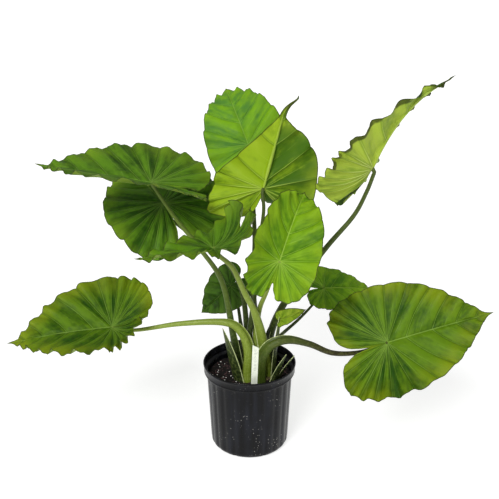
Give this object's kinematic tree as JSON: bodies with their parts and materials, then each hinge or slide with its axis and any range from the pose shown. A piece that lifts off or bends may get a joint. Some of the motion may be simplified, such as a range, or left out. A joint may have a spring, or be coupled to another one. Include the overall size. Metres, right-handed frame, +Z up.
{
  "type": "potted alocasia",
  "caption": "Potted foliage plant: large heart-shaped, wavy-edged leaves on long bare stalks from a short crown in a fluted nursery pot of soil.",
  "frame": {"origin": "middle of the pot's underside, on the surface that the pot stands on", "axes": "+Z up; +X towards the low right leaf, along the plant's widest spread; -Y towards the side that the plant label faces"},
  "size_m": [1.2648, 0.5678, 1.0201],
  "materials": {
    "pot_plastic": "satin black moulded plastic",
    "potting_mix": "moist dark bark and peat mix with white perlite",
    "crown_skin": "rough fibrous stem with dry sheath remains",
    "leaf_blade": "waxy satin leaf with pale veins",
    "leaf_stalk": "smooth satin stalk",
    "label_plastic": "white satin sheet plastic"
  },
  "bodies": {
    "root": {"pot": "pot_plastic", "soil": "potting_mix", "crown": "crown_skin", "plant_label": "label_plastic", "leaf_right_low": "leaf_blade", "stalk_right_low": "leaf_stalk", "leaf_left_low": "leaf_blade", "stalk_left_low": "leaf_stalk", "leaf_left_high": "leaf_blade", "stalk_left_high": "leaf_stalk", "leaf_left_back": "leaf_blade", "stalk_left_back": "leaf_stalk", "leaf_back": "leaf_blade", "stalk_back": "leaf_stalk", "leaf_centre": "leaf_blade", "stalk_centre": "leaf_stalk", "leaf_left_front": "leaf_blade", "stalk_left_front": "leaf_stalk", "leaf_front": "leaf_blade", "stalk_front": "leaf_stalk", "leaf_right_high": "leaf_blade", "stalk_right_high": "leaf_stalk", "leaf_right_back": "leaf_blade", "stalk_right_back": "leaf_stalk", "leaf_young": "leaf_blade", "stalk_young": "leaf_stalk", "leaf_inner": "leaf_blade", "stalk_inner": "leaf_stalk"}
  },
  "joints": []
}
